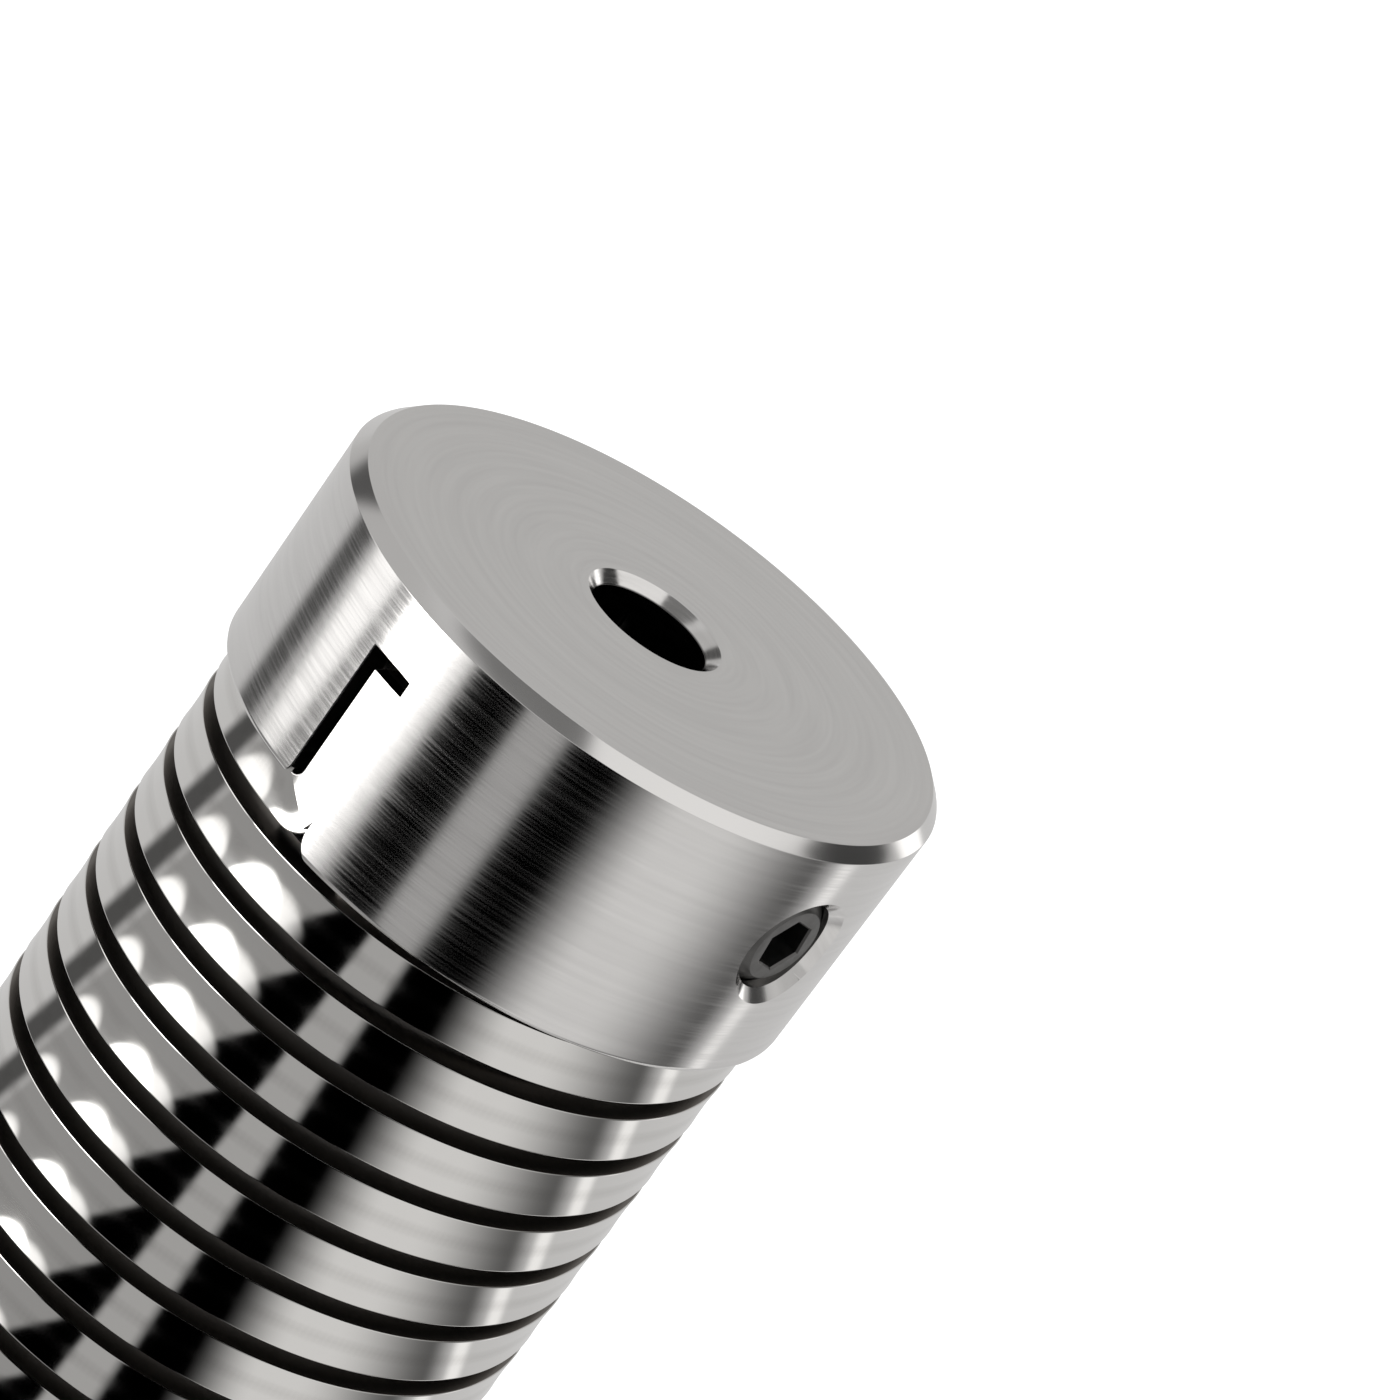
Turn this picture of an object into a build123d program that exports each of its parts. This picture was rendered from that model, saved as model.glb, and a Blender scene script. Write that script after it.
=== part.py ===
from build123d import *
import os
from math import asin, degrees, sqrt

# Helical coil shaft coupling: two turned hubs joined by one flat-wire coil,
# with two set screws in each hub. Millimetres. The coupling stands on its
# lower end face, +Z up, with a set screw of each hub on the +X side. The
# lower end is the upper one turned half round the X direction.

# hubs
hub_diameter = 26.0
hub_length = 10.9            # end face to the shoulder that the coil leaves from
spigot_length = 3.1          # shoulder to the end of the pilot inside the coil
bore_diameter = 5.0
bore_chamfer = 0.45
face_chamfer = 0.5
spigot_chamfer = 0.3

# coil, a flat wire wound on edge
wire_width = 2.1             # along the axis
wire_depth = 1.7             # from its outer to its inner face
coil_gap = 0.8               # between one turn and the next
clear_turns = 9              # turns between the two shoulders
coil_step = 0.6              # coil's outer face below the hub's surface

# seat of the coil in the hub
seat_clearance = 0.05
lip_overlap = 0.5            # how far the rounded rim reaches over the wire

# tangs at the ends of the wire, and the notches that hold them
tang_width = 1.5
tang_from_face = 3.5         # end face to the end of the tang
tang_inner_bend = 0.45
tang_outer_bend = 1.5
tang_step_drop = 1.5         # slant between the tang's face and the coil's
notch_clearance = 0.6        # beside the tang and past its end
notch_corner = 1.0

# set screws
screw_diameter = 4.0
screw_length = 10.0
screw_from_face = 4.9        # end face to the screws' axis
screw_recess = 0.45          # outer end of the screw below the hub's surface
screw_end_chamfer = 0.4
screw_point_chamfer = 0.9
cup_diameter = 2.0
cup_depth = 0.7
socket_size = 2.0            # across the flats
socket_depth = 2.2
socket_turn = 19.0
thread_clearance = 0.04
screw_hole_chamfer = 0.3
screw_azimuths = {"front": 0.0, "side": 90.0}

# worked out from the sizes above
hub_radius = hub_diameter / 2
bore_radius = bore_diameter / 2
screw_radius = screw_diameter / 2
coil_radius = hub_radius - coil_step
coil_inner_radius = coil_radius - wire_depth
spigot_radius = coil_inner_radius - seat_clearance
core_radius = spigot_radius / 2
pitch = wire_width + coil_gap
coupling_length = 2 * hub_length + clear_turns * pitch + wire_width
shoulder = coupling_length - hub_length
spigot_end = shoulder - spigot_length
reach = 2 * hub_radius       # past everything that a cut has to clear

# The wire's upper edge crosses the shoulder at azimuth 0 and climbs on into
# the hub for most of a turn, up to the tang at three quarters of a turn.
tang_azimuth = -90.0
tang_right = (tang_width + notch_clearance) / 2
tang_left = tang_right - tang_width
tang_root = 2 * tang_inner_bend - tang_left
tang_root_angle = degrees(asin(tang_root / coil_radius))
seated_turns = (360 + tang_azimuth - tang_root_angle) / 360
wire_turns = clear_turns + 2 * seated_turns
wire_end_level = shoulder - wire_width / 2 + seated_turns * pitch
wire_end_azimuth = tang_azimuth - tang_root_angle


def turned_over(shape):
    """The same shape at the lower end of the coupling."""
    return Pos(0, 0, coupling_length) * Rot(180, 0, 0) * shape


def upright(radius, low, high):
    """A round bar on the coupling's axis."""
    bar = Cylinder(radius, high - low, align=(Align.CENTER, Align.CENTER, Align.MIN))
    return Pos(0, 0, low) * bar


def along_helix(outline, turns):
    """Sweeps an outline of radius and height along the coil's helix."""
    section = Plane(origin=(0, 0, 0), x_dir=(1, 0, 0), z_dir=(0, -1, 0)) * outline
    path = Helix(pitch=pitch, height=turns * pitch, radius=coil_radius - wire_depth / 2)
    return sweep(section, path=path, is_frenet=True)


def upper_tang():
    """The end of the wire, bent up along the axis into the notch."""
    top = coupling_length - tang_from_face
    upper = wire_end_level + wire_width / 2
    lower = wire_end_level - wire_width / 2
    inner = tang_inner_bend
    outer = tang_outer_bend
    outline = make_face([
        Line((tang_left, top), (tang_right, top)),
        Line((tang_right, top), (tang_right, lower + outer)),
        RadiusArc((tang_right, lower + outer), (tang_right - outer, lower), outer),
        Line((tang_right - outer, lower), (-reach, lower)),
        Line((-reach, lower), (-reach, upper)),
        Line((-reach, upper), (tang_left - inner, upper)),
        RadiusArc((tang_left - inner, upper), (tang_left, upper + inner), inner),
        Line((tang_left, upper + inner), (tang_left, top)),
    ])
    blade = extrude(Plane.XZ * outline, reach)
    blade &= upright(hub_radius, 0, coupling_length) - upright(coil_inner_radius, 0, coupling_length)
    ahead = Rot(0, 0, wire_end_azimuth) * Pos(reach / 2, reach / 2, shoulder) * Box(reach, reach, reach)
    blade &= ahead
    proud = upright(hub_radius, 0, coupling_length) - upright(coil_radius, 0, coupling_length)
    step_top = upper + inner
    below = make_face(Polyline(
        (-reach, step_top), (tang_left, step_top), (tang_right, step_top - tang_step_drop),
        (reach, step_top - tang_step_drop), (reach, 0), (-reach, 0), close=True,
    ))
    return blade - (proud & extrude(Plane.XZ * below, reach))


def coil_spring():
    middle = coil_radius - wire_depth / 2
    outline = Pos(middle, 0) * Rectangle(wire_depth, wire_width)
    start = coupling_length - wire_end_level
    turns = Pos(0, 0, start) * Rot(0, 0, -wire_end_azimuth) * along_helix(outline, wire_turns)
    return turns + upper_tang() + turned_over(upper_tang())


def upper_coil_seat():
    """What the coil's last turn, and the lip over it, take out of the hub."""
    upper = wire_width / 2
    lip = coil_radius + seat_clearance
    lip_end = upper - lip_overlap
    rise = lip_end + coil_step
    outside = hub_radius + coil_step
    arc_end = lip + coil_step
    outline = make_face([
        Line((core_radius, upper + seat_clearance), (lip, upper + seat_clearance)),
        Line((lip, upper + seat_clearance), (lip, lip_end)),
        RadiusArc((lip, lip_end), (arc_end, rise), -coil_step),
        Line((arc_end, rise), (outside, rise)),
        Line((outside, rise), (outside, -hub_length)),
        Line((outside, -hub_length), (core_radius, -hub_length)),
        Line((core_radius, -hub_length), (core_radius, upper + seat_clearance)),
    ])
    into_notch = tang_root_angle / 360
    past_shoulder = 2 * seat_clearance / pitch
    turns = into_notch + seated_turns + past_shoulder
    start = wire_end_level - (seated_turns + past_shoulder) * pitch
    start_azimuth = tang_azimuth - turns * 360
    return Pos(0, 0, start) * Rot(0, 0, start_azimuth) * along_helix(outline, turns)


def upper_notch():
    """The slot for the tang, open at the shoulder."""
    right = tang_right
    left = tang_left - notch_clearance
    top = coupling_length - tang_from_face + notch_clearance
    low = shoulder - hub_length
    corner = notch_corner
    outline = make_face([
        Line((left, top), (right, top)),
        Line((right, top), (right, shoulder + corner)),
        RadiusArc((right, shoulder + corner), (right + corner, shoulder), corner),
        Line((right + corner, shoulder), (right + corner, low)),
        Line((right + corner, low), (left, low)),
        Line((left, low), (left, top)),
    ])
    return extrude(Plane.XZ * outline, reach) - upright(core_radius, 0, coupling_length)


def screw_hole(azimuth):
    hole_radius = screw_radius + thread_clearance
    mouth = hole_radius + screw_hole_chamfer + coil_step
    hole = Cylinder(hole_radius, reach, align=(Align.CENTER, Align.CENTER, Align.MIN))
    countersink = Pos(0, 0, hub_radius - screw_hole_chamfer) * Cone(
        hole_radius, mouth, mouth - hole_radius, align=(Align.CENTER, Align.CENTER, Align.MIN)
    )
    return on_screw_axis(hole + countersink, azimuth)


def on_screw_axis(shape, azimuth):
    """Turns a shape made along +Z to point out of the upper hub's side."""
    level = coupling_length - screw_from_face
    return Pos(0, 0, level) * Rot(0, 0, azimuth) * Rot(0, 90, 0) * shape


def upper_hub():
    face = coupling_length
    outline = make_face([
        Line((0, face), (hub_radius - face_chamfer, face)),
        Line((hub_radius - face_chamfer, face), (hub_radius, face - face_chamfer)),
        Line((hub_radius, face - face_chamfer), (hub_radius, shoulder + coil_step)),
        RadiusArc((hub_radius, shoulder + coil_step), (coil_radius, shoulder), coil_step),
        Line((coil_radius, shoulder), (0, shoulder)),
        Line((0, shoulder), (0, face)),
    ])
    body = revolve(Plane.XZ * outline, Axis.Z)
    body -= upper_coil_seat()
    body -= upper_notch()
    spigot = upright(spigot_radius, spigot_end, face - face_chamfer)
    spigot = chamfer(spigot.edges().sort_by(Axis.Z)[0], spigot_chamfer)
    bore = upright(bore_radius, 0, coupling_length)
    flare = bore_radius + bore_chamfer
    mouth = Pos(0, 0, face - bore_chamfer) * Cone(
        bore_radius, flare, bore_chamfer, align=(Align.CENTER, Align.CENTER, Align.MIN)
    )
    hub = body + spigot - bore - mouth
    for azimuth in screw_azimuths.values():
        hub -= screw_hole(azimuth)
    return hub


def set_screw():
    """Socket set screw with a cup point, made along +Z with its point down."""
    outer = hub_radius - screw_recess
    point = outer - screw_length
    screw = upright(screw_radius, point, outer)
    screw = chamfer(screw.edges().sort_by(Axis.Z)[-1], screw_end_chamfer)
    screw = chamfer(screw.edges().sort_by(Axis.Z)[0], screw_point_chamfer)
    corner_radius = socket_size / sqrt(3)
    hexagon = Rot(0, 0, socket_turn) * RegularPolygon(corner_radius, 6)
    screw -= Pos(0, 0, outer - socket_depth) * extrude(hexagon, socket_depth)
    cup = Cone(cup_diameter / 2, 0, cup_depth, align=(Align.CENTER, Align.CENTER, Align.MIN))
    return screw - Pos(0, 0, point) * cup


parts = {
    "upper_hub": upper_hub(),
    "lower_hub": turned_over(upper_hub()),
    "coil_spring": coil_spring(),
}
for place, azimuth in screw_azimuths.items():
    screw = on_screw_axis(set_screw(), azimuth)
    parts[f"upper_set_screw_{place}"] = screw
    parts[f"lower_set_screw_{place}"] = turned_over(screw)

os.makedirs("parts", exist_ok=True)
for name, shape in parts.items():
    shape.label = name
    export_step(shape, f"parts/{name}.step")
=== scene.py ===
import bmesh
import bpy
from math import acos, asin, atan2, cos, pi, radians, sin, sqrt, tan
from mathutils import Matrix, Vector


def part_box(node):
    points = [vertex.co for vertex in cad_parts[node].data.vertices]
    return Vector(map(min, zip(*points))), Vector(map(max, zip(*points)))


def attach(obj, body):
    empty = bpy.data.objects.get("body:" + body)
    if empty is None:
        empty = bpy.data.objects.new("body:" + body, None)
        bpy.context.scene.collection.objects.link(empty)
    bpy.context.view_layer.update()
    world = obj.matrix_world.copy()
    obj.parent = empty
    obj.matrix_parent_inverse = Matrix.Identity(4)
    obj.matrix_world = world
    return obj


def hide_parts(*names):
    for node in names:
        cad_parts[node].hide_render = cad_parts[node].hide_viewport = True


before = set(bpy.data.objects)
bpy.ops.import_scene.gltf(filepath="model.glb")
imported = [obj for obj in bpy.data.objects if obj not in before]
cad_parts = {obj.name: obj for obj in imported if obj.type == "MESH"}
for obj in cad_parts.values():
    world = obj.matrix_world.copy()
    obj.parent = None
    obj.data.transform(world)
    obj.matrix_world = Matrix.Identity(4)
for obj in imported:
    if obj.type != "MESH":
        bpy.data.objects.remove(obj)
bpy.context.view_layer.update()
print("frame loaded")

mm = 0.001
hubLow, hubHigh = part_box("upper_hub")
couplingLength = round(hubHigh.z / mm, 3)
hubRadius = round((hubHigh.x - hubLow.x) / 2 / mm, 3)

# angles in degrees, distances in millimetres
cameraSet = {
    "azimuth": 29.82,
    "elevation": 21.745,
    "roll": 36.12,
    "distance": 195.95,
    "aim": (2.698, 1.547, 48.442),
    "lens": 135.15,
    "sensor": 36.0,
}


def makeCamera(c):
    data = bpy.data.cameras.new("camera")
    data.lens = c["lens"]
    data.sensor_width = c["sensor"]
    data.clip_start = 0.01
    data.clip_end = 20
    camera = bpy.data.objects.new("camera", data)
    bpy.context.scene.collection.objects.link(camera)
    azimuth, elevation = radians(c["azimuth"]), radians(c["elevation"])
    back = Vector((sin(azimuth) * cos(elevation), -cos(azimuth) * cos(elevation), sin(elevation)))
    level = back.to_track_quat("Z", "Y").to_matrix()
    turned = level @ Matrix.Rotation(radians(c["roll"]), 3, "Z")
    place = (Vector(c["aim"]) + back * c["distance"]) * mm
    camera.matrix_world = Matrix.Translation(place) @ turned.to_4x4()
    bpy.context.scene.camera = camera


makeCamera(cameraSet)
print("camera placed")


# a socket is linked, anything else is set on the input itself
def linkInto(tree, value, socket):
    if isinstance(value, bpy.types.NodeSocket):
        tree.links.new(value, socket)
    else:
        socket.default_value = value


def mathNode(tree, operation, a, b=0.0, clamp=False):
    node = tree.nodes.new("ShaderNodeMath")
    node.operation = operation
    node.use_clamp = clamp
    linkInto(tree, a, node.inputs[0])
    linkInto(tree, b, node.inputs[1])
    return node.outputs[0]


def rangeNode(tree, value, fromMin, fromMax, toMin=0.0, toMax=1.0, smooth=False):
    node = tree.nodes.new("ShaderNodeMapRange")
    node.interpolation_type = "SMOOTHSTEP" if smooth else "LINEAR"
    for socket, given in zip(node.inputs[:5], (value, fromMin, fromMax, toMin, toMax)):
        linkInto(tree, given, socket)
    return node.outputs[0]


def mixColours(tree, mask, a, b):
    node = tree.nodes.new("ShaderNodeMix")
    node.data_type = "RGBA"
    linkInto(tree, mask, node.inputs["Factor"])
    linkInto(tree, a, node.inputs["A"])
    linkInto(tree, b, node.inputs["B"])
    return node.outputs["Result"]


def newGroup(name, inputs, outputs):
    group = bpy.data.node_groups.new(name, "ShaderNodeTree")
    for label, kind, value in inputs:
        socket = group.interface.new_socket(label, in_out="INPUT", socket_type=kind)
        if value is not None:
            socket.default_value = value
    for label, kind in outputs:
        group.interface.new_socket(label, in_out="OUTPUT", socket_type=kind)
    return group, group.nodes.new("NodeGroupInput").outputs, group.nodes.new("NodeGroupOutput").inputs


def useGroup(tree, group, **values):
    node = tree.nodes.new("ShaderNodeGroup")
    node.node_tree = group
    for label, value in values.items():
        linkInto(tree, value, node.inputs[label])
    return node.outputs


# What the metal mirrors. Azimuths run from the camera's own, positive to its right; elevations from level.
# fromLean shifts the left side with each degree below leanLevel, bow lifts the low end's corners.

studio = {
    "wall": (0.64, 0.635, 0.63),
    "diffuseLevel": 0.75,
    "background": (1.0, 1.0, 1.0),
    "cardTint": (1.0, 0.99, 0.975),
    "leanLevel": -22.0,
    "softEnds": 4,
}

cards = [
    {"name": "horizonRing", "from": -200, "to": 200, "low": 5, "high": 50, "level": 0.55,
     "soft": 1, "softEnds": 6},
    {"name": "lowLeft", "from": -98, "to": 0, "low": -90, "high": -22, "level": 0.34,
     "soft": 6, "softEnds": 5},
    {"name": "leftFlag", "from": -114, "to": -100, "low": -50, "high": 2, "level": 0.09, "soft": 7},
    {"name": "leftCard", "from": -98, "to": -77, "low": -26, "high": 2, "level": 1.4,
     "soft": 11, "softTo": 3, "bow": 5, "softEnds": 3},
    {"name": "keyFlag", "from": -40, "to": -15, "low": -60, "high": 14, "level": 0.0,
     "soft": 4, "fromLean": 0.8},
    {"name": "keyFade", "from": -60, "to": -38.5, "low": -27, "high": 4, "level": 1.3,
     "soft": 3, "softTo": 14, "bow": 3, "softEnds": 3},
    {"name": "keyCard", "from": -72, "to": -45, "low": -27.5, "high": 4, "level": 4.5,
     "soft": 3, "softTo": 5, "bow": 8, "softEnds": 3},
    {"name": "middleGrey", "from": -15, "to": 1, "low": -90, "high": 14, "level": 0.44,
     "soft": 4, "softTo": 5},
    {"name": "middleFlag", "from": 1, "to": 60, "low": -90, "high": 14, "level": 0.0, "soft": 5},
    {"name": "rightFlag", "from": 56, "to": 109, "low": -60, "high": 8, "level": 0.12,
     "soft": 4, "softTo": 14},
    {"name": "rightLight", "from": 33, "to": 82, "low": -60, "high": 14, "level": 0.76,
     "soft": 26, "softTo": 44},
    {"name": "rightStrip", "from": 114, "to": 121, "low": -60, "high": 8, "level": 1.05, "soft": 5},
    {"name": "topDark", "from": -78, "to": 12, "low": 57, "high": 95, "level": 0.2,
     "soft": 12, "softEnds": 6},
    {"name": "topLight", "from": 14, "to": 120, "low": 38, "high": 95, "level": 0.95,
     "soft": 10, "softEnds": 6},
    {"name": "upperFlag", "from": 106, "to": 137, "low": 16, "high": 38, "level": 0.05,
     "soft": 6, "softEnds": 4},
    {"name": "upperStrip", "from": 141, "to": 152, "low": -2, "high": 17, "level": 1.6,
     "soft": 4, "softEnds": 3},
    {"name": "upperLeft", "from": -144, "to": -122, "low": 14, "high": 32, "level": 0.1,
     "soft": 8, "softEnds": 6},
]


def cardGroup():
    group, given, out = newGroup("studioCard", [
        ("Under", "NodeSocketColor", None), ("Level", "NodeSocketColor", None),
    ] + [(label, "NodeSocketFloat", 0.0) for label in (
        "Azimuth", "Elevation", "From", "To", "Low", "High", "Soft", "SoftTo", "SoftEnds", "FromLean", "Bow",
    )], [("Colour", "NodeSocketColor")])

    def edge(value, at, soft, rising):
        half = mathNode(group, "MULTIPLY", soft, 0.5)
        low = mathNode(group, "SUBTRACT", at, half)
        high = mathNode(group, "ADD", at, half)
        ends = (0.0, 1.0) if rising else (1.0, 0.0)
        return rangeNode(group, value, low, high, *ends, smooth=True)

    drop = mathNode(group, "SUBTRACT", studio["leanLevel"], given["Elevation"])
    left = mathNode(group, "ADD", given["From"], mathNode(group, "MULTIPLY", drop, given["FromLean"]))
    middle = mathNode(group, "MULTIPLY", mathNode(group, "ADD", given["From"], given["To"]), 0.5)
    half = mathNode(group, "MULTIPLY", mathNode(group, "SUBTRACT", given["To"], given["From"]), 0.5)
    aside = mathNode(group, "DIVIDE", mathNode(group, "SUBTRACT", given["Azimuth"], middle), half)
    lift = mathNode(group, "MULTIPLY", mathNode(group, "MULTIPLY", aside, aside), given["Bow"])
    low = mathNode(group, "ADD", given["Low"], lift)
    mask = mathNode(group, "MULTIPLY", edge(given["Azimuth"], left, given["Soft"], True),
                    edge(given["Azimuth"], given["To"], given["SoftTo"], False))
    mask = mathNode(group, "MULTIPLY", mask, edge(given["Elevation"], low, given["SoftEnds"], True))
    mask = mathNode(group, "MULTIPLY", mask, edge(given["Elevation"], given["High"], given["SoftEnds"], False))
    group.links.new(mixColours(group, mask, given["Under"], given["Level"]), out["Colour"])
    return group


def makeWorld(s, cards):
    world = bpy.data.worlds.new("studio")
    world.use_nodes = True
    bpy.context.scene.world = world
    tree = world.node_tree
    tree.nodes.clear()
    direction = tree.nodes.new("ShaderNodeTexCoord").outputs["Generated"]
    turn = tree.nodes.new("ShaderNodeMapping")
    turn.inputs["Rotation"].default_value = (0, 0, pi / 2 - radians(cameraSet["azimuth"]))
    tree.links.new(direction, turn.inputs["Vector"])
    parts = tree.nodes.new("ShaderNodeSeparateXYZ")
    tree.links.new(turn.outputs["Vector"], parts.inputs[0])
    azimuth = mathNode(tree, "DEGREES", mathNode(tree, "ARCTAN2", parts.outputs["Y"], parts.outputs["X"]))
    elevation = mathNode(tree, "DEGREES", mathNode(tree, "ARCSINE", parts.outputs["Z"]))
    group = cardGroup()
    colour = (*s["wall"], 1)
    for card in cards:
        shade = [card["level"] * tint for tint in s["cardTint"]]
        colour = useGroup(
            tree, group, Under=colour, Azimuth=azimuth, Elevation=elevation, Level=(*shade, 1),
            From=card["from"], To=card["to"], Low=card["low"], High=card["high"], Soft=card["soft"],
            SoftTo=card.get("softTo", card["soft"]), SoftEnds=card.get("softEnds", s["softEnds"]),
            FromLean=card.get("fromLean", 0), Bow=card.get("bow", 0),
        )["Colour"]
    path = tree.nodes.new("ShaderNodeLightPath").outputs
    plain = (s["diffuseLevel"],) * 3 + (1,)
    colour = mixColours(tree, path["Is Glossy Ray"], plain, colour)
    colour = mixColours(tree, path["Is Camera Ray"], colour, (*s["background"], 1))
    background = tree.nodes.new("ShaderNodeBackground")
    tree.links.new(colour, background.inputs["Color"])
    output = tree.nodes.new("ShaderNodeOutputWorld")
    tree.links.new(background.outputs[0], output.inputs["Surface"])


floorSet = {
    "half": 1.5,            # metres
    "grey": 0.8,
    "roughness": 0.9,
    "glow": 0.45,           # for the camera alone, so that the ground shows white
}


def makeFloor(s):
    half = s["half"]
    mesh = bpy.data.meshes.new("floor")
    corners = [(-half, -half, 0), (half, -half, 0), (half, half, 0), (-half, half, 0)]
    mesh.from_pydata(corners, [], [(0, 1, 2, 3)])
    floor = bpy.data.objects.new("floor", mesh)
    bpy.context.scene.collection.objects.link(floor)
    material = bpy.data.materials.new("paleFloor")
    material.use_nodes = True
    tree = material.node_tree
    shader = tree.nodes["Principled BSDF"]
    shader.inputs["Base Color"].default_value = (s["grey"], s["grey"], s["grey"], 1)
    shader.inputs["Roughness"].default_value = s["roughness"]
    shader.inputs["Specular IOR Level"].default_value = 0.0
    shader.inputs["Emission Color"].default_value = (1, 1, 1, 1)
    path = tree.nodes.new("ShaderNodeLightPath").outputs
    glow = mathNode(tree, "MULTIPLY", path["Is Camera Ray"], s["glow"])
    tree.links.new(glow, shader.inputs["Emission Strength"])
    mesh.materials.append(material)
    floor.visible_glossy = False


# azimuth from the camera's own, distances in metres, power in watts
lampSet = {
    "name": "softKey",
    "azimuth": -50,
    "elevation": 50,
    "distance": 0.5,
    "size": 0.4,
    "power": 1.2,
}


def makeLamp(s):
    data = bpy.data.lights.new(s["name"], "AREA")
    data.shape = "DISK"
    data.size = s["size"]
    data.energy = s["power"]
    lamp = bpy.data.objects.new(s["name"], data)
    bpy.context.scene.collection.objects.link(lamp)
    azimuth = radians(s["azimuth"] + cameraSet["azimuth"])
    elevation = radians(s["elevation"])
    back = Vector((sin(azimuth) * cos(elevation), -cos(azimuth) * cos(elevation), sin(elevation)))
    centre = Vector((0, 0, couplingLength / 2 * mm))
    turned = back.to_track_quat("Z", "Y").to_matrix().to_4x4()
    lamp.matrix_world = Matrix.Translation(centre + back * s["distance"]) @ turned
    lamp.visible_glossy = False


bpy.context.scene.view_settings.view_transform = "Standard"
makeWorld(studio, cards)
makeFloor(floorSet)
makeLamp(lampSet)
print("studio made")


def newMaterial(name):
    material = bpy.data.materials.new(name)
    material.use_nodes = True
    tree = material.node_tree
    return material, tree, tree.nodes["Principled BSDF"]


def cylinderCoordinates(tree):
    place = tree.nodes.new("ShaderNodeTexCoord").outputs["Object"]
    parts = tree.nodes.new("ShaderNodeSeparateXYZ")
    tree.links.new(place, parts.inputs[0])
    x, y, z = parts.outputs
    turn = mathNode(tree, "ARCTAN2", y, x)
    radius = mathNode(tree, "SQRT", mathNode(tree, "ADD", mathNode(tree, "MULTIPLY", x, x),
                                             mathNode(tree, "MULTIPLY", y, y)))
    return turn, radius, z


# fine lines that a tool leaves round the axis, from 0 to 1
def toolLinesGroup():
    group, given, out = newGroup("toolLines", [
        ("Spacing", "NodeSocketFloat", 0.05), ("Length", "NodeSocketFloat", 0.5),
        ("Seed", "NodeSocketFloat", 0.0),
    ], [("Lines", "NodeSocketFloat")])
    turn, radius, z = cylinderCoordinates(group)
    reach = mathNode(group, "ADD", mathNode(group, "MULTIPLY", radius, 1 / mm),
                     mathNode(group, "MULTIPLY", z, 1 / mm))
    across = mathNode(group, "DIVIDE", reach, given["Spacing"])
    ringX = mathNode(group, "DIVIDE", mathNode(group, "COSINE", turn), given["Length"])
    ringY = mathNode(group, "DIVIDE", mathNode(group, "SINE", turn), given["Length"])
    place = group.nodes.new("ShaderNodeCombineXYZ")
    group.links.new(ringX, place.inputs["X"])
    group.links.new(ringY, place.inputs["Y"])
    group.links.new(across, place.inputs["Z"])
    noise = group.nodes.new("ShaderNodeTexNoise")
    noise.noise_dimensions = "4D"
    noise.inputs["Scale"].default_value = 1.0
    noise.inputs["Detail"].default_value = 2.0
    group.links.new(place.outputs[0], noise.inputs["Vector"])
    group.links.new(given["Seed"], noise.inputs["W"])
    group.links.new(noise.outputs["Fac"], out["Lines"])
    return group


toolLines = toolLinesGroup()

turnedSteelSet = {
    "colour": (0.76, 0.75, 0.742),
    # painted shade: the bore wall is coloured dark for the shade inside the hole
    "paintedBoreShade": (0.12, 0.118, 0.115),
    "boreShadeRadius": (2.5, 2.56),
    "roughness": (0.1, 0.18),
    "lineSpacing": 0.09,
    "lineLength": 0.45,
    "lineSeed": 3.0,
    "lineRange": (0.35, 0.65),
    "bump": 0.01,
    "bumpDepth": 0.02,      # millimetres
    "ringColour": (0.70, 0.69, 0.683),
    "ringSpacing": 0.35,
    "ringLength": 0.9,
    "ringSeed": 11.0,
    "ringRange": (0.3, 0.7),
}


def makeTurnedSteel(s):
    material, tree, shader = newMaterial("turnedSteel")
    lines = useGroup(tree, toolLines, Spacing=s["lineSpacing"], Length=s["lineLength"], Seed=s["lineSeed"])
    shader.inputs["Metallic"].default_value = 1.0
    rings = useGroup(tree, toolLines, Spacing=s["ringSpacing"], Length=s["ringLength"], Seed=s["ringSeed"])
    faint = rangeNode(tree, rings["Lines"], *s["ringRange"])
    colour = mixColours(tree, faint, (*s["colour"], 1), (*s["ringColour"], 1))
    radius = mathNode(tree, "MULTIPLY", cylinderCoordinates(tree)[1], 1 / mm)
    # painted shade: within the bore's radius the steel takes the dark bore colour, for the shade in the hole
    clearOfBoreShade = rangeNode(tree, radius, *s["boreShadeRadius"], smooth=True)
    colour = mixColours(tree, clearOfBoreShade, (*s["paintedBoreShade"], 1), colour)
    tree.links.new(colour, shader.inputs["Base Color"])
    roughness = rangeNode(tree, lines["Lines"], *s["lineRange"], *s["roughness"])
    tree.links.new(roughness, shader.inputs["Roughness"])
    bump = tree.nodes.new("ShaderNodeBump")
    bump.inputs["Strength"].default_value = s["bump"]
    bump.inputs["Distance"].default_value = s["bumpDepth"] * mm
    tree.links.new(lines["Lines"], bump.inputs["Height"])
    tree.links.new(bump.outputs[0], shader.inputs["Normal"])
    return material


groundSteelSet = {
    "colour": (0.76, 0.75, 0.735),
    "paintedFlankShade": (0.21, 0.195, 0.18),    # painted shade: the wire's sides and inner face are darkened, for the shade in the narrow gaps between turns
    "roughness": (0.055, 0.065),
    "flankRoughness": 0.3,
    "flankRadius": (12.34, 12.37),
    "lineSpacing": 0.12,
    "lineLength": 0.5,
    "lineSeed": 8.0,
    "lineRange": (0.3, 0.7),
}


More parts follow.
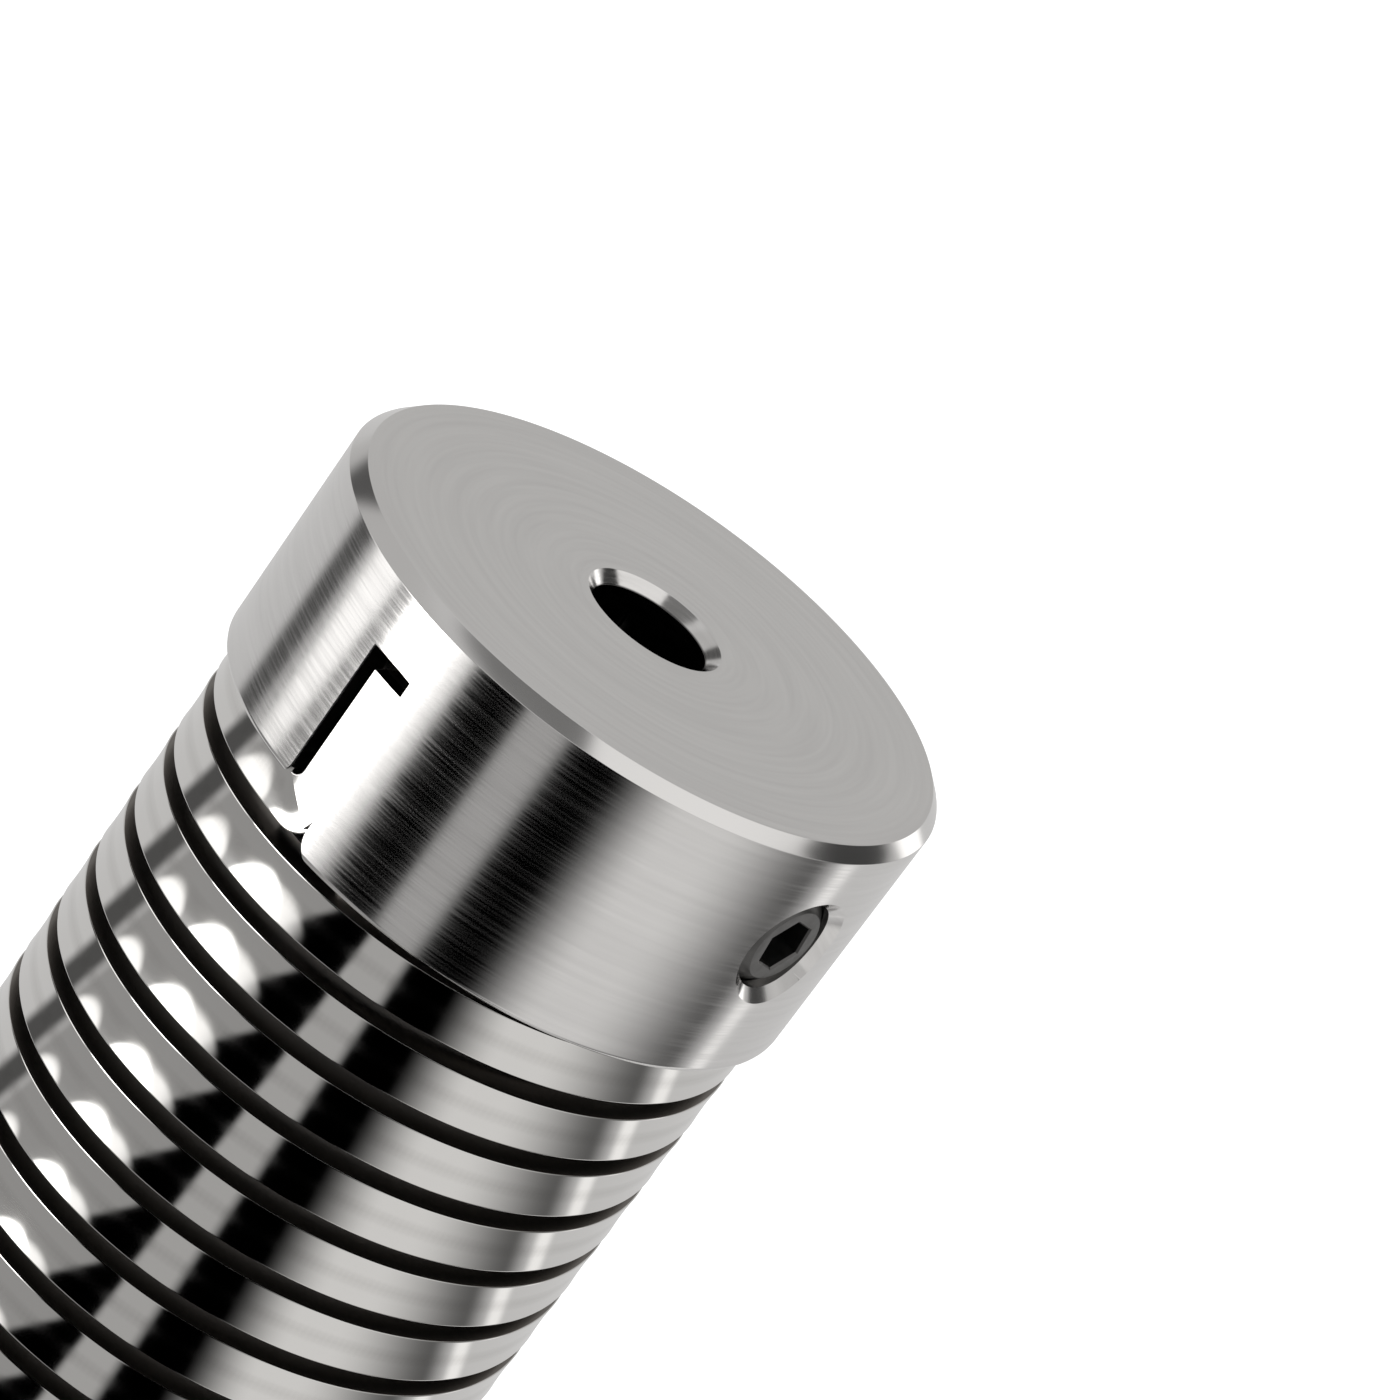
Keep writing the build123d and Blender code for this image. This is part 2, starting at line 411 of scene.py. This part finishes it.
def makeGroundSteel(s):
    material, tree, shader = newMaterial("groundSteel")
    lines = useGroup(tree, toolLines, Spacing=s["lineSpacing"], Length=s["lineLength"], Seed=s["lineSeed"])
    shader.inputs["Metallic"].default_value = 1.0
    radius = mathNode(tree, "MULTIPLY", cylinderCoordinates(tree)[1], 1 / mm)
    # painted shade: inside flankRadius the wire takes the dark flank colour, standing in for the shade between the
    # turns
    face = rangeNode(tree, radius, *s["flankRadius"], smooth=True)
    colour = mixColours(tree, face, (*s["paintedFlankShade"], 1), (*s["colour"], 1))
    tree.links.new(colour, shader.inputs["Base Color"])
    ground = rangeNode(tree, lines["Lines"], *s["lineRange"], *s["roughness"])
    roughness = rangeNode(tree, face, 0.0, 1.0, s["flankRoughness"], ground)
    tree.links.new(roughness, shader.inputs["Roughness"])
    return material


blackOxideSet = {
    "colour": (0.14, 0.138, 0.135),
    "roughness": (0.3, 0.42),
    "grain": 3000,
    "grainRange": (0.3, 0.7),
}


def makeBlackOxide(s):
    material, tree, shader = newMaterial("blackOxide")
    place = tree.nodes.new("ShaderNodeTexCoord").outputs["Object"]
    noise = tree.nodes.new("ShaderNodeTexNoise")
    noise.inputs["Scale"].default_value = s["grain"]
    tree.links.new(place, noise.inputs["Vector"])
    shader.inputs["Metallic"].default_value = 1.0
    shader.inputs["Base Color"].default_value = (*s["colour"], 1)
    roughness = rangeNode(tree, noise.outputs["Fac"], *s["grainRange"], *s["roughness"])
    tree.links.new(roughness, shader.inputs["Roughness"])
    return material


turnedSteel = makeTurnedSteel(turnedSteelSet)
groundSteel = makeGroundSteel(groundSteelSet)
blackOxide = makeBlackOxide(blackOxideSet)
print("materials made")


# Shapes are drawn in millimetres, and newPiece scales them by mm.
def newPiece(name, verts, faces, material):
    mesh = bpy.data.meshes.new(name)
    mesh.from_pydata([Vector(v) * mm for v in verts], [], faces)
    bm = bmesh.new()
    bm.from_mesh(mesh)
    bmesh.ops.remove_doubles(bm, verts=bm.verts, dist=0.0005 * mm)
    bmesh.ops.dissolve_degenerate(bm, edges=bm.edges, dist=0.0001 * mm)
    bmesh.ops.recalc_face_normals(bm, faces=bm.faces)
    bm.to_mesh(mesh)
    bm.free()
    mesh.materials.append(material)
    mesh.polygons.foreach_set("use_smooth", [True] * len(mesh.polygons))
    piece = bpy.data.objects.new(name, mesh)
    bpy.context.scene.collection.objects.link(piece)
    return piece


def settle(piece):
    graph = bpy.context.evaluated_depsgraph_get()
    mesh = bpy.data.meshes.new_from_object(piece.evaluated_get(graph))
    mesh.name = piece.name
    piece.modifiers.clear()
    piece.data = mesh
    return piece


def cutAway(piece, cutter):
    boolean = piece.modifiers.new("cut", "BOOLEAN")
    boolean.operation = "DIFFERENCE"
    boolean.solver = "EXACT"
    boolean.object = cutter
    settle(piece)
    bpy.data.objects.remove(cutter)


def evenNormals(piece, sharpAngle=40):
    mesh = piece.data
    bm = bmesh.new()
    bm.from_mesh(mesh)
    limit = radians(sharpAngle)
    for edge in bm.edges:
        edge.smooth = len(edge.link_faces) == 2 and edge.calc_face_angle(pi) < limit
    for face in bm.faces:
        face.smooth = True
    bm.to_mesh(mesh)
    bm.free()
    weighted = piece.modifiers.new("weighted", "WEIGHTED_NORMAL")
    weighted.weight = 100
    weighted.keep_sharp = True
    settle(piece)


def loopFaces(rows, width, closedRows, closedWidth=True):
    faces = []
    for i in range(rows if closedRows else rows - 1):
        k = (i + 1) % rows
        for j in range(width if closedWidth else width - 1):
            n = (j + 1) % width
            faces.append((i * width + j, k * width + j, k * width + n, i * width + n))
    return faces


# the points of a closed outline whose corners are given as (x, y, radius)
def roundedCorners(corners, steps):
    points = []
    count = len(corners)
    for i, (x, y, radius) in enumerate(corners):
        here = Vector((x, y))
        before = Vector(corners[i - 1][:2]) - here
        after = Vector(corners[(i + 1) % count][:2]) - here
        if radius == 0:
            points.append(here)
            continue
        if before.length < 1e-6 or after.length < 1e-6:
            points.extend([here] * (steps + 1))
            continue
        half = before.angle(after) / 2
        back = min(radius / tan(half), before.length / 2, after.length / 2)
        radius = back * tan(half)
        start = here + before.normalized() * back
        centre = here + (before.normalized() + after.normalized()).normalized() * (radius / sin(half))
        end = here + after.normalized() * back
        a0 = atan2(start.y - centre.y, start.x - centre.x)
        a1 = atan2(end.y - centre.y, end.x - centre.x)
        sweep = (a1 - a0 + pi) % (2 * pi) - pi
        for k in range(steps + 1):
            a = a0 + sweep * k / steps
            points.append(centre + Vector((cos(a), sin(a))) * radius)
    return points


def turnedOver(point):
    return Vector((point[0], -point[1], couplingLength - point[2]))


# the hubs' seats are worked out from these sizes too
coilSet = {
    "wireWidth": 2.1,
    "wireDepth": 1.7,
    "gap": 0.8,
    "step": 0.6,            # below the hub's surface
    "clearTurns": 9,
    "corner": 0.035,
    "dish": 0.037,          # hollow of the outer face
    "segments": 300,        # in each turn
    "dishSteps": 4,         # rows on each half of the hollow
}

hubSet = {
    "length": 10.9,
    "spigot": 3.1,
    "bore": 2.5,
    "boreChamfer": 0.45,
    "faceChamfer": 0.5,
    "spigotChamfer": 0.3,
    "seatClearance": 0.05,
    "lipOverlap": 0.32,
    "edge": 0.05,
    "edgeSteps": 6,
    "columns": 720,
    "notchFloor": 5.3,      # radius that the notch reaches in to
}

tangSet = {
    "width": 1.5,
    "fromFace": 3.5,
    "innerBend": 0.45,
    "outerBend": 1.5,
    "stepWidth": 0.4,       # ramp up to the tang's face, at the inner bend
    "cuspRise": 0.95,       # where the ramp runs out on the outer bend, above the wire's lower edge
    "seat": 0.06,           # how far the right side beds into the notch's wall
    "clearance": 0.6,
    "notchCorner": 1.0,
    "lipCorner": 0.5,
    "edge": 0.04,
    "azimuth": 270,         # degrees round the axis
    "lipAt": 265,           # where the lip's level is taken for the corner beside the notch
}

pitch = coilSet["wireWidth"] + coilSet["gap"]
coilRadius = hubRadius - coilSet["step"]
coilInner = coilRadius - coilSet["wireDepth"]
coilMiddle = (coilRadius + coilInner) / 2
shoulder = couplingLength - hubSet["length"]
tangRight = (tangSet["width"] + tangSet["clearance"]) / 2
tangLeft = tangRight - tangSet["width"]
tangRoot = 2 * tangSet["innerBend"] - tangLeft
rootTurn = asin(tangRoot / coilRadius) / (2 * pi)
seatedTurns = 0.75 - rootTurn
wireTurns = coilSet["clearTurns"] + 2 * seatedTurns
wireEndLevel = shoulder - coilSet["wireWidth"] / 2 + seatedTurns * pitch


# outline of the wire as (radial from the middle, axial), with the outer face hollowed
def coilSection(c):
    half, depth, corner = c["wireWidth"] / 2, c["wireDepth"] / 2, c["corner"]
    flat = half - corner
    beside = flat - corner / 2
    steps = c["dishSteps"]
    across = [beside * k / steps for k in range(-steps, steps + 1)]
    outer = [(depth - c["dish"] * (1 - (v / flat) ** 2), v) for v in across]
    points = []
    for cx, cy, start in ((depth - corner, -flat, -90), (depth - corner, flat, 0),
                          (corner - depth, flat, 90), (corner - depth, -flat, 180)):
        for k in range(3):
            a = radians(start + 45 * k)
            points.append((cx + corner * cos(a), cy + corner * sin(a)))
        if start == -90:
            points.extend(outer)
    return points


def coilTree(material):
    tree = bpy.data.node_groups.new("woundWire", "GeometryNodeTree")
    tree.interface.new_socket("Geometry", in_out="OUTPUT", socket_type="NodeSocketGeometry")
    for label, kind in (("Section", "NodeSocketObject"), ("Turns", "NodeSocketFloat"),
                        ("Pitch", "NodeSocketFloat"), ("Radius", "NodeSocketFloat"),
                        ("Start Level", "NodeSocketFloat"),
                        ("Start Angle", "NodeSocketFloat"), ("Segments", "NodeSocketInt"),
                        ("Material", "NodeSocketMaterial")):
        tree.interface.new_socket(label, in_out="INPUT", socket_type=kind)
    given = tree.nodes.new("NodeGroupInput").outputs
    out = tree.nodes.new("NodeGroupOutput").inputs

    def node(kind, **links):
        made = tree.nodes.new(kind)
        for label, value in links.items():
            linkInto(tree, value, made.inputs[label.replace("_", " ")])
        return made

    height = node("ShaderNodeMath")
    height.operation = "MULTIPLY"
    tree.links.new(given["Turns"], height.inputs[0])
    tree.links.new(given["Pitch"], height.inputs[1])
    spiral = node("GeometryNodeCurveSpiral", Resolution=given["Segments"], Rotations=given["Turns"],
                  Start_Radius=given["Radius"], End_Radius=given["Radius"], Height=height.outputs[0], Reverse=True)
    lift = node("ShaderNodeCombineXYZ", Z=given["Start Level"])
    turn = node("ShaderNodeCombineXYZ", Z=given["Start Angle"])
    placed = node("GeometryNodeTransform", Geometry=spiral.outputs[0], Translation=lift.outputs[0],
                  Rotation=turn.outputs[0])
    upright = node("GeometryNodeSetCurveNormal", Curve=placed.outputs[0])
    upright.mode = "Z_UP"
    section = node("GeometryNodeObjectInfo", Object=given["Section"])
    swept = node("GeometryNodeCurveToMesh", Curve=upright.outputs[0], Profile_Curve=section.outputs["Geometry"])
    real = node("GeometryNodeRealizeInstances", Geometry=swept.outputs[0])
    finished = node("GeometryNodeSetMaterial", Geometry=real.outputs[0], Material=given["Material"])
    tree.links.new(finished.outputs[0], out[0])
    return tree


def socketId(tree, label):
    return next(s.identifier for s in tree.interface.items_tree if s.name == label and s.in_out == "INPUT")


def woundWire(c, material):
    points = coilSection(c)
    curve = bpy.data.curves.new("section", "CURVE")
    curve.dimensions = "3D"
    spline = curve.splines.new("POLY")
    spline.points.add(len(points) - 1)
    for point, (x, y) in zip(spline.points, points):
        point.co = (x * mm, y * mm, 0, 1)
    spline.use_cyclic_u = True
    section = bpy.data.objects.new("section", curve)
    bpy.context.scene.collection.objects.link(section)
    holder = bpy.data.objects.new("coil", bpy.data.meshes.new("coil"))
    bpy.context.scene.collection.objects.link(holder)
    tree = coilTree(material)
    modifier = holder.modifiers.new("wire", "NODES")
    modifier.node_group = tree
    values = {
        "Section": section, "Turns": wireTurns, "Pitch": pitch * mm, "Radius": coilMiddle * mm,
        "Start Level": (couplingLength - wireEndLevel) * mm, "Start Angle": pi / 2 + 2 * pi * rootTurn,
        "Segments": c["segments"], "Material": material,
    }
    for label, value in values.items():
        modifier[socketId(tree, label)] = value
    settle(holder)
    bpy.data.objects.remove(section)
    return holder, len(points)


# From the wire's end to the tang's: (inner side, outer side, share of the ramp, proud, inset).
def tangStations(t, c):
    upper = wireEndLevel + c["wireWidth"] / 2
    lower = wireEndLevel - c["wireWidth"] / 2
    top = couplingLength - t["fromFace"]
    seated = tangRight + t["seat"]
    innerStart, outerStart = tangLeft - t["innerBend"], tangRight - t["outerBend"]
    cusp = acos(1 - t["cuspRise"] / t["outerBend"])

    def outerBend(a):
        return outerStart + t["outerBend"] * sin(a), lower + t["outerBend"] * (1 - cos(a))

    rampSteps, bendSteps = 10, 5
    straight = 0.25         # share of the ramp before the outer bend begins
    rowGap = 0.01           # keeps the bend's first row off the ramp's last
    stations = []
    for k in range(1, rampSteps + 1):
        s = k / rampSteps
        inner = (-tangRoot + (innerStart - t["stepWidth"] + tangRoot) * s, upper)
        if s < straight:
            outer = (-tangRoot + (outerStart + tangRoot) * s / straight, lower)
        else:
            outer = outerBend(cusp * (s - straight) / (1 - straight))
        stations.append((inner, outer, s, 0.0, 0.0))
    for k in range(bendSteps + 1):
        s = k / bendSteps
        a = pi / 2 * s
        inner = (innerStart + t["innerBend"] * sin(a), upper + t["innerBend"] * (1 - cos(a)))
        x, level = outerBend(cusp + (pi / 2 - cusp) * s)
        outer = (x + (seated - tangRight) * s, level + rowGap)
        stations.append((inner, outer, 1.0, 1.0, 0.0))
    for below, inset in ((t["edge"], 0.0), (t["edge"] * 0.3, t["edge"] * 0.3), (0.0, t["edge"])):
        stations.append(((tangLeft, top - below), (seated, top - below), 1.0, 1.0, inset))
    return stations


def tangRows(t, c):
    half, depth = c["wireWidth"] / 2, c["wireDepth"] / 2
    section = coilSection(c)
    flat = coilSection({**c, "dish": 0.0})
    rows = []
    for inner, outer, s, proud, inset in tangStations(t, c):
        row = []
        width = Vector(inner) - Vector(outer)
        for (w0, v0), (w1, v1) in zip(section, flat):
            radial, across = w0 + (w1 - w0) * s, -v0 / half
            across *= 1 - 2 * inset / width.length
            if radial > 0:
                radial += proud * c["step"] - inset
            else:
                radial += inset
            place = Vector(outer) + width * (across + 1) / 2
            rho = coilMiddle + radial
            x = place.x * (1 + (rho / coilRadius - 1) * (1 - s))
            row.append(Vector((x, -sqrt(rho * rho - x * x), place.y)))
        rows.append(row)
    return rows


def makeCoil():
    coil, width = woundWire(coilSet, groundSteel)
    verts = [v.co / mm for v in coil.data.vertices]
    faces = [tuple(p.vertices) for p in coil.data.polygons]
    bpy.data.objects.remove(coil)
    rows = tangRows(tangSet, coilSet)
    count = len(verts) // width
    ends = [list(range((count - 1) * width, count * width)), list(range(width))]
    last = [verts[i] for i in ends[0]]
    over = [turnedOver(p) for p in last]
    match = [min(range(width), key=lambda j: (over[j] - verts[i]).length) for i in ends[1]]
    for below, order, flip in ((ends[0], list(range(width)), False), (ends[1], match, True)):
        for row in rows:
            start = len(verts)
            verts.extend(turnedOver(row[j]) if flip else row[j] for j in order)
            here = list(range(start, start + width))
            faces.extend((below[j], below[(j + 1) % width], here[(j + 1) % width], here[j]) for j in range(width))
            below = here
        faces.append(tuple(below))
    coil = newPiece("coil", verts, faces, groundSteel)
    evenNormals(coil)
    return coil


coil = makeCoil()
print("coil wound")


# the hub's outline at an azimuth from 0 to 360 degrees
def hubColumn(azimuth, h):
    wireTop = shoulder + pitch * azimuth / 360
    under = azimuth < tangSet["azimuth"]
    seat = max(shoulder, wireTop + h["seatClearance"]) if under else shoulder
    lip = max(shoulder, wireTop - h["lipOverlap"]) if under else shoulder
    spigot = coilInner - h["seatClearance"]
    spigotEnd = shoulder - h["spigot"]
    lipRadius = coilRadius + h["seatClearance"]
    e = h["edge"]
    end = couplingLength
    corners = [
        (h["bore"], spigotEnd, e), (spigot - h["spigotChamfer"], spigotEnd, 0),
        (spigot, spigotEnd + h["spigotChamfer"], 0), (spigot, seat, 0),
        (lipRadius, seat, 0), (lipRadius, lip, 0),
        (hubRadius, lip, hubRadius - lipRadius), (hubRadius, end - h["faceChamfer"], e),
        (hubRadius - h["faceChamfer"], end, e), (h["bore"] + h["boreChamfer"], end, e),
        (h["bore"], end - h["boreChamfer"], e),
    ]
    return roundedCorners(corners, h["edgeSteps"])


def turnedBody(h):
    verts = []
    for k in range(h["columns"]):
        azimuth = 360 * (k + 0.5) / h["columns"]
        a = radians(azimuth)
        verts.extend((r * cos(a), r * sin(a), z) for r, z in hubColumn(azimuth, h))
    width = len(verts) // h["columns"]
    return newPiece("upper_hub_body", verts, loopFaces(h["columns"], width, True), turnedSteel)


# the notch's outline in rows at several radii, opened a little at the hub's surface
def notchCutter(t, h):
    left, right = tangLeft - t["clearance"], tangRight
    top = couplingLength - t["fromFace"] + t["clearance"]
    past = 2                # how far the cutter runs beyond the hub's lower face
    sharpest = 0.3          # limits how far a sharp corner moves when the outline grows
    corner, low = t["notchCorner"], shoulder - past
    arc = [(right + corner - corner * cos(radians(a)), shoulder + corner - corner * sin(radians(a)))
           for a in range(0, 91, 10)]
    small = t["lipCorner"]
    lip = shoulder + pitch * t["lipAt"] / 360 - h["lipOverlap"]
    leftArc = [(left - small + small * sin(radians(a)), lip + small - small * cos(radians(a)))
               for a in range(0, 91, 15)]
    outline = [(left - small, low)] + leftArc
    outline += [(left, top), (right, top), (right, shoulder + corner + past)] + arc
    outline.append((right + corner, low))
    e = t["edge"]
    verts = []
    rows = [(h["notchFloor"], 0), (hubRadius - e, 0), (hubRadius + e, 2 * e), (hubRadius + 1, 2 * e)]
    for rho, grow in rows:
        for i, (x, z) in enumerate(outline):
            before = Vector(outline[i - 1]) - Vector((x, z))
            after = Vector(outline[(i + 1) % len(outline)]) - Vector((x, z))
            normal = (after.normalized() - before.normalized()).orthogonal()
            if normal.length < 1e-9:
                normal = after.orthogonal()
            normal.normalize()
            bend = before.angle(after) / 2
            moved = Vector((x, z)) + normal * grow / max(sin(bend), sharpest)
            verts.append((moved.x, -sqrt(rho * rho - moved.x * moved.x), moved.y))
    width = len(outline)
    faces = loopFaces(len(rows), width, False)
    faces.append(tuple(range(width)))
    faces.append(tuple(range((len(rows) - 1) * width, len(rows) * width)))
    return newPiece("notchCutter", verts, faces, turnedSteel)


screwSet = {
    "diameter": 4.0,
    "length": 10.0,
    "fromFace": 4.9,
    "recess": 0.45,
    "endChamfer": 0.4,
    "pointChamfer": 0.9,
    "cupDiameter": 2.0,
    "cupDepth": 0.7,
    "socket": 2.0,
    "socketDepth": 2.2,
    "socketTurn": 41.0,
    "clearance": 0.04,
    "holeChamfer": 0.42,
    "azimuths": (0, 90),
    "columns": 96,
    "edge": 0.05,
    "cupEdge": 0.02,
    "socketChamfer": 0.08,
    "drillPoint": 0.5,
}


# an outline of (along, radius), turned about +X
def lathe(name, outline, columns, material, closed):
    verts = []
    for k in range(columns):
        a = 2 * pi * k / columns
        verts.extend((x, r * cos(a), r * sin(a)) for x, r in outline)
    return newPiece(name, verts, loopFaces(columns, len(outline), True, closed), material)


# a bar whose flare follows the round wall, so that the chamfer is equally wide all round
def screwHoleCutter(s, azimuth):
    r, chamfer = s["diameter"] / 2 + s["clearance"], s["holeChamfer"]
    core = 0.5              # starts inside the bore
    rows = [(core, r), (hubRadius - chamfer, r), (hubRadius, r + chamfer),
            (hubRadius + chamfer, r + 2 * chamfer)]
    columns = 128
    verts = []
    for rho, radius in rows:
        for k in range(columns):
            a = 2 * pi * k / columns
            y = radius * cos(a)
            x = sqrt(rho * rho - y * y) if rho > core else core
            verts.append((x, y, radius * sin(a)))
    faces = loopFaces(len(rows), columns, False)
    faces.append(tuple(range(columns)))
    middle = len(verts)
    verts.append((hubRadius + 1, 0, 0))
    start = (len(rows) - 1) * columns
    faces.extend((start + k, start + (k + 1) % columns, middle) for k in range(columns))
    cutter = newPiece("holeCutter", verts, faces, turnedSteel)
    level = couplingLength - s["fromFace"]
    cutter.data.transform(Matrix.Translation((0, 0, level * mm)) @ Matrix.Rotation(radians(azimuth), 4, "Z"))
    return cutter


# The hub's wall is round, so its faces take their normals from the axis.
def radialNormals(piece):
    upright = 0.02          # a wall face's normal has less than this along the axis
    onWall = 0.004 * mm
    outward = 0.98
    mesh = piece.data
    normals = [Vector(n.vector) for n in mesh.corner_normals]
    for polygon in mesh.polygons:
        if abs(polygon.normal.z) > upright:
            continue
        for i in polygon.loop_indices:
            v = mesh.vertices[mesh.loops[i].vertex_index].co
            facing = polygon.normal.xy.dot(v.xy) > outward * v.xy.length
            if abs(v.xy.length - hubRadius * mm) < onWall and facing:
                normals[i] = Vector((v.x, v.y, 0)).normalized()
    mesh.normals_split_custom_set(normals)


def makeHubs():
    hub = turnedBody(hubSet)
    cutAway(hub, notchCutter(tangSet, hubSet))
    for azimuth in screwSet["azimuths"]:
        cutAway(hub, screwHoleCutter(screwSet, azimuth))
    hub.name = "upper_hub_turned"
    lower = hub.copy()
    lower.data = hub.data.copy()
    lower.name = "lower_hub_turned"
    bpy.context.scene.collection.objects.link(lower)
    lower.data.transform(Matrix.Translation((0, 0, couplingLength * mm)) @ Matrix.Rotation(pi, 4, "X"))
    for piece in (hub, lower):
        evenNormals(piece)
        radialNormals(piece)
    return hub, lower


upperHub, lowerHub = makeHubs()
print("hubs turned")


def setScrewMesh(s):
    r = s["diameter"] / 2
    outer = hubRadius - s["recess"]
    point = outer - s["length"]
    edge = s["edge"]
    corners = [(outer, 0, 0), (outer, r - s["endChamfer"], edge), (outer - s["endChamfer"], r, edge),
               (point + s["pointChamfer"], r, edge), (point, r - s["pointChamfer"], edge),
               (point, s["cupDiameter"] / 2, s["cupEdge"]), (point + s["cupDepth"], 0, 0)]
    outline = [tuple(p) for p in roundedCorners(corners, 3)]
    screw = lathe("setScrew", outline, s["columns"], blackOxide, False)
    corner = s["socket"] / sqrt(3)
    above, mouth = 0.3, s["socketChamfer"]
    floor = outer - s["socketDepth"]
    rows = [(floor, 1.0), (outer - mouth, 1.0), (outer + above, 1.0 + (above + mouth) / corner)]
    verts, faces = [(floor - s["drillPoint"], 0, 0)], []
    for x, grow in rows:
        for k in range(6):
            a = radians(s["socketTurn"] + 60 * k)
            verts.append((x, corner * grow * cos(a), corner * grow * sin(a)))
    for k in range(6):
        n = (k + 1) % 6
        faces.append((0, 1 + k, 1 + n))
        faces.append((1 + k, 7 + k, 7 + n, 1 + n))
        faces.append((7 + k, 13 + k, 13 + n, 7 + n))
    faces.append(tuple(range(13, 19)))
    cutAway(screw, newPiece("hexCutter", verts, faces, blackOxide))
    evenNormals(screw, 25)
    return screw


# one screw at each azimuth on a level
def screwTree():
    tree = bpy.data.node_groups.new("screwPair", "GeometryNodeTree")
    tree.interface.new_socket("Geometry", in_out="OUTPUT", socket_type="NodeSocketGeometry")
    for label, kind in (("Screw", "NodeSocketObject"), ("Level", "NodeSocketFloat"),
                        ("Count", "NodeSocketInt"), ("Turn Between", "NodeSocketFloat"),
                        ("Material", "NodeSocketMaterial")):
        tree.interface.new_socket(label, in_out="INPUT", socket_type=kind)
    given = tree.nodes.new("NodeGroupInput").outputs
    out = tree.nodes.new("NodeGroupOutput").inputs
    line = tree.nodes.new("GeometryNodeMeshLine")
    line.mode = "OFFSET"
    linkInto(tree, given["Count"], line.inputs["Count"])
    line.inputs["Offset"].default_value = (0, 0, 0)
    lift = tree.nodes.new("ShaderNodeCombineXYZ")
    linkInto(tree, given["Level"], lift.inputs["Z"])
    linkInto(tree, lift.outputs[0], line.inputs["Start Location"])
    index = tree.nodes.new("GeometryNodeInputIndex").outputs[0]
    turn = tree.nodes.new("ShaderNodeMath")
    turn.operation = "MULTIPLY"
    linkInto(tree, index, turn.inputs[0])
    linkInto(tree, given["Turn Between"], turn.inputs[1])
    angle = tree.nodes.new("ShaderNodeCombineXYZ")
    linkInto(tree, turn.outputs[0], angle.inputs["Z"])
    screw = tree.nodes.new("GeometryNodeObjectInfo")
    linkInto(tree, given["Screw"], screw.inputs["Object"])
    placed = tree.nodes.new("GeometryNodeInstanceOnPoints")
    linkInto(tree, line.outputs[0], placed.inputs["Points"])
    linkInto(tree, screw.outputs["Geometry"], placed.inputs["Instance"])
    linkInto(tree, angle.outputs[0], placed.inputs["Rotation"])
    real = tree.nodes.new("GeometryNodeRealizeInstances")
    linkInto(tree, placed.outputs[0], real.inputs[0])
    finished = tree.nodes.new("GeometryNodeSetMaterial")
    linkInto(tree, real.outputs[0], finished.inputs["Geometry"])
    linkInto(tree, given["Material"], finished.inputs["Material"])
    linkInto(tree, finished.outputs[0], out[0])
    return tree


def makeScrews(s):
    screw = setScrewMesh(s)
    tree = screwTree()
    pairs = []
    for name, level, turn in (("upper_set_screws", couplingLength - s["fromFace"], pi / 2),
                              ("lower_set_screws", s["fromFace"], -pi / 2)):
        holder = bpy.data.objects.new(name, bpy.data.meshes.new(name))
        bpy.context.scene.collection.objects.link(holder)
        modifier = holder.modifiers.new("pair", "NODES")
        modifier.node_group = tree
        values = {"Screw": screw, "Level": level * mm, "Count": len(s["azimuths"]),
                  "Turn Between": turn, "Material": blackOxide}
        for label, value in values.items():
            modifier[socketId(tree, label)] = value
        pairs.append(settle(holder))
    bpy.data.objects.remove(screw)
    return pairs


upperScrews, lowerScrews = makeScrews(screwSet)
print("set screws placed")

# Each piece rides the one body and stands in for its solids.
dressed = (
    (upperHub, "hub", ("upper_hub",)),
    (lowerHub, "hub", ("lower_hub",)),
    (coil, "coil", ("coil_spring",)),
    (upperScrews, "set_screw", ("upper_set_screw_front", "upper_set_screw_side")),
    (lowerScrews, "set_screw", ("lower_set_screw_front", "lower_set_screw_side")),
)
for piece, slot, nodes in dressed:
    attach(piece, "root")
    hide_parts(*nodes)
    print(piece.name, sum(len(p.vertices) - 2 for p in piece.data.polygons), "triangles")
